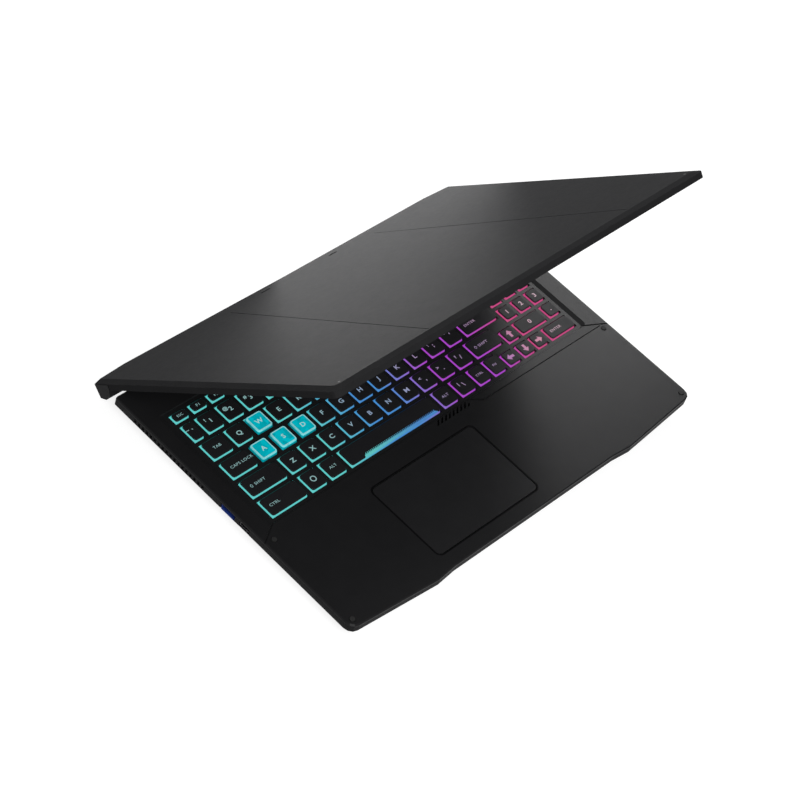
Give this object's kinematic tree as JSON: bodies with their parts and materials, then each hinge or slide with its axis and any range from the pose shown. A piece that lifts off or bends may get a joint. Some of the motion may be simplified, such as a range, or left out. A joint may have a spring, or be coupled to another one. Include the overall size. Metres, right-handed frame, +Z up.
{
  "type": "laptop computer",
  "caption": "Black gaming laptop with its lid part way open, lit keys, a touchpad, side sockets and a flat sloped-edge lid on two rear hinges.",
  "frame": {"origin": "under the middle of the open laptop, on the surface that its feet stand on", "axes": "+X to the typist's right, +Y from the typist to the hinge, +Z up"},
  "size_m": [0.359, 0.26, 0.1891],
  "materials": {
    "case": "satin",
    "lid": "satin black coat",
    "bezel": "matte",
    "screen": "dark, switched off",
    "key_cap": "satin black, light passing at the sides",
    "key_cyan": "translucent cyan, lit from below",
    "rubber": "matte",
    "touchpad_plate": "satin black coated",
    "bare_metal": "bare",
    "copper": "bare copper colour",
    "circuit_board": "dark green solder mask",
    "inner_plastic": "matte",
    "battery_wrap": "black wrapped cells",
    "socket_blue": "blue"
  },
  "bodies": {
    "chassis": {"top_case": "case", "bottom_cover": "case", "keyboard_tray": "bare_metal", "front_left_foot": "rubber", "front_right_foot": "rubber", "rear_foot": "rubber", "deck_bumper_front_left": "rubber", "deck_bumper_front_right": "rubber", "deck_bumper_rear_left": "rubber", "deck_bumper_rear_right": "rubber", "left_usb_port": "socket_blue", "left_media_port": "bare_metal", "right_usb_port": "bare_metal", "right_usb_c_port": "bare_metal", "right_hdmi_port": "bare_metal", "right_lan_port": "bare_metal", "power_inlet": "inner_plastic", "motherboard": "circuit_board", "storage_drive": "circuit_board", "memory_module": "circuit_board", "battery_pack": "battery_wrap", "left_speaker": "inner_plastic", "right_speaker": "inner_plastic", "left_fan_housing": "bare_metal", "right_fan_housing": "bare_metal", "left_heatsink": "copper", "right_heatsink": "copper", "heat_pipe": "copper", "left_hinge_bracket": "bare_metal", "right_hinge_bracket": "bare_metal"},
    "lid": {"lid_cover": "lid", "hinge_cover": "case", "screen_bezel": "bezel", "display_panel": "screen", "webcam_module": "bezel", "left_hinge_leaf": "bare_metal", "right_hinge_leaf": "bare_metal"},
    "touchpad": {"touchpad": "touchpad_plate"},
    "left_fan_rotor": {"left_fan_rotor": "inner_plastic"},
    "right_fan_rotor": {"right_fan_rotor": "inner_plastic"},
    "function_keys": {"function_keys": "key_cap"},
    "number_keys": {"number_keys": "key_cap"},
    "upper_letter_keys": {"upper_letter_keys": "key_cap"},
    "home_letter_keys": {"home_letter_keys": "key_cap"},
    "lower_letter_keys": {"lower_letter_keys": "key_cap"},
    "bottom_keys": {"bottom_keys": "key_cap"},
    "number_pad_keys": {"number_pad_keys": "key_cap"},
    "power_button": {"power_button": "key_cap"},
    "enter_key": {"enter_key": "key_cap"},
    "caps_lock_key": {"caps_lock_key": "key_cap"},
    "left_shift_key": {"left_shift_key": "key_cap"},
    "space_bar": {"space_bar": "key_cap"},
    "w_key": {"w_key": "key_cyan"},
    "a_key": {"a_key": "key_cyan"},
    "s_key": {"s_key": "key_cyan"},
    "d_key": {"d_key": "key_cyan"},
    "left_arrow_key": {"left_arrow_key": "key_cap"},
    "down_arrow_key": {"down_arrow_key": "key_cap"},
    "right_arrow_key": {"right_arrow_key": "key_cap"},
    "up_arrow_key": {"up_arrow_key": "key_cap"}
  },
  "joints": [
    {"name": "lid_hinge", "type": "hinge", "parent": "chassis", "child": "lid", "pos_m": [0, 0.11616, 0.0156], "axis": [-1, 0, 0], "range_deg": [-43.05, 86.95]},
    {"name": "touchpad_click", "type": "hinge", "parent": "chassis", "child": "touchpad", "pos_m": [-0.0358, -0.04974, 0.01665], "axis": [1, 0, 0], "range_deg": [0, 0.4], "stiffness_Nm_per_rad": 5, "springref_deg": -0.52},
    {"name": "left_fan_spin", "type": "hinge", "parent": "chassis", "child": "left_fan_rotor", "pos_m": [-0.112, 0.05796, 0.0049], "axis": [0, 0, 1], "continuous": true},
    {"name": "right_fan_spin", "type": "hinge", "parent": "chassis", "child": "right_fan_rotor", "pos_m": [0.112, 0.05796, 0.0049], "axis": [0, 0, 1], "continuous": true},
    {"name": "function_keys_press", "type": "slide", "parent": "chassis", "child": "function_keys", "axis": [0, 0, -1], "range_m": [0, 0.0015], "stiffness_N_per_m": 1200, "springref_m": -0.001},
    {"name": "number_keys_press", "type": "slide", "parent": "chassis", "child": "number_keys", "axis": [0, 0, -1], "range_m": [0, 0.0015], "stiffness_N_per_m": 1200, "springref_m": -0.001},
    {"name": "upper_letter_keys_press", "type": "slide", "parent": "chassis", "child": "upper_letter_keys", "axis": [0, 0, -1], "range_m": [0, 0.0015], "stiffness_N_per_m": 1200, "springref_m": -0.001},
    {"name": "home_letter_keys_press", "type": "slide", "parent": "chassis", "child": "home_letter_keys", "axis": [0, 0, -1], "range_m": [0, 0.0015], "stiffness_N_per_m": 1200, "springref_m": -0.001},
    {"name": "lower_letter_keys_press", "type": "slide", "parent": "chassis", "child": "lower_letter_keys", "axis": [0, 0, -1], "range_m": [0, 0.0015], "stiffness_N_per_m": 1200, "springref_m": -0.001},
    {"name": "bottom_keys_press", "type": "slide", "parent": "chassis", "child": "bottom_keys", "axis": [0, 0, -1], "range_m": [0, 0.0015], "stiffness_N_per_m": 1200, "springref_m": -0.001},
    {"name": "number_pad_keys_press", "type": "slide", "parent": "chassis", "child": "number_pad_keys", "axis": [0, 0, -1], "range_m": [0, 0.0015], "stiffness_N_per_m": 1200, "springref_m": -0.001},
    {"name": "power_button_press", "type": "slide", "parent": "chassis", "child": "power_button", "axis": [0, 0, -1], "range_m": [0, 0.0015], "stiffness_N_per_m": 350, "springref_m": -0.001},
    {"name": "enter_key_press", "type": "slide", "parent": "chassis", "child": "enter_key", "axis": [0, 0, -1], "range_m": [0, 0.0015], "stiffness_N_per_m": 350, "springref_m": -0.001},
    {"name": "caps_lock_key_press", "type": "slide", "parent": "chassis", "child": "caps_lock_key", "axis": [0, 0, -1], "range_m": [0, 0.0015], "stiffness_N_per_m": 350, "springref_m": -0.001},
    {"name": "left_shift_key_press", "type": "slide", "parent": "chassis", "child": "left_shift_key", "axis": [0, 0, -1], "range_m": [0, 0.0015], "stiffness_N_per_m": 350, "springref_m": -0.001},
    {"name": "space_bar_press", "type": "slide", "parent": "chassis", "child": "space_bar", "axis": [0, 0, -1], "range_m": [0, 0.0015], "stiffness_N_per_m": 350, "springref_m": -0.001},
    {"name": "w_key_press", "type": "slide", "parent": "chassis", "child": "w_key", "axis": [0, 0, -1], "range_m": [0, 0.0015], "stiffness_N_per_m": 350, "springref_m": -0.001},
    {"name": "a_key_press", "type": "slide", "parent": "chassis", "child": "a_key", "axis": [0, 0, -1], "range_m": [0, 0.0015], "stiffness_N_per_m": 350, "springref_m": -0.001},
    {"name": "s_key_press", "type": "slide", "parent": "chassis", "child": "s_key", "axis": [0, 0, -1], "range_m": [0, 0.0015], "stiffness_N_per_m": 350, "springref_m": -0.001},
    {"name": "d_key_press", "type": "slide", "parent": "chassis", "child": "d_key", "axis": [0, 0, -1], "range_m": [0, 0.0015], "stiffness_N_per_m": 350, "springref_m": -0.001},
    {"name": "left_arrow_key_press", "type": "slide", "parent": "chassis", "child": "left_arrow_key", "axis": [0, 0, -1], "range_m": [0, 0.0015], "stiffness_N_per_m": 350, "springref_m": -0.001},
    {"name": "down_arrow_key_press", "type": "slide", "parent": "chassis", "child": "down_arrow_key", "axis": [0, 0, -1], "range_m": [0, 0.0015], "stiffness_N_per_m": 350, "springref_m": -0.001},
    {"name": "right_arrow_key_press", "type": "slide", "parent": "chassis", "child": "right_arrow_key", "axis": [0, 0, -1], "range_m": [0, 0.0015], "stiffness_N_per_m": 350, "springref_m": -0.001},
    {"name": "up_arrow_key_press", "type": "slide", "parent": "chassis", "child": "up_arrow_key", "axis": [0, 0, -1], "range_m": [0, 0.0015], "stiffness_N_per_m": 350, "springref_m": -0.001}
  ]
}
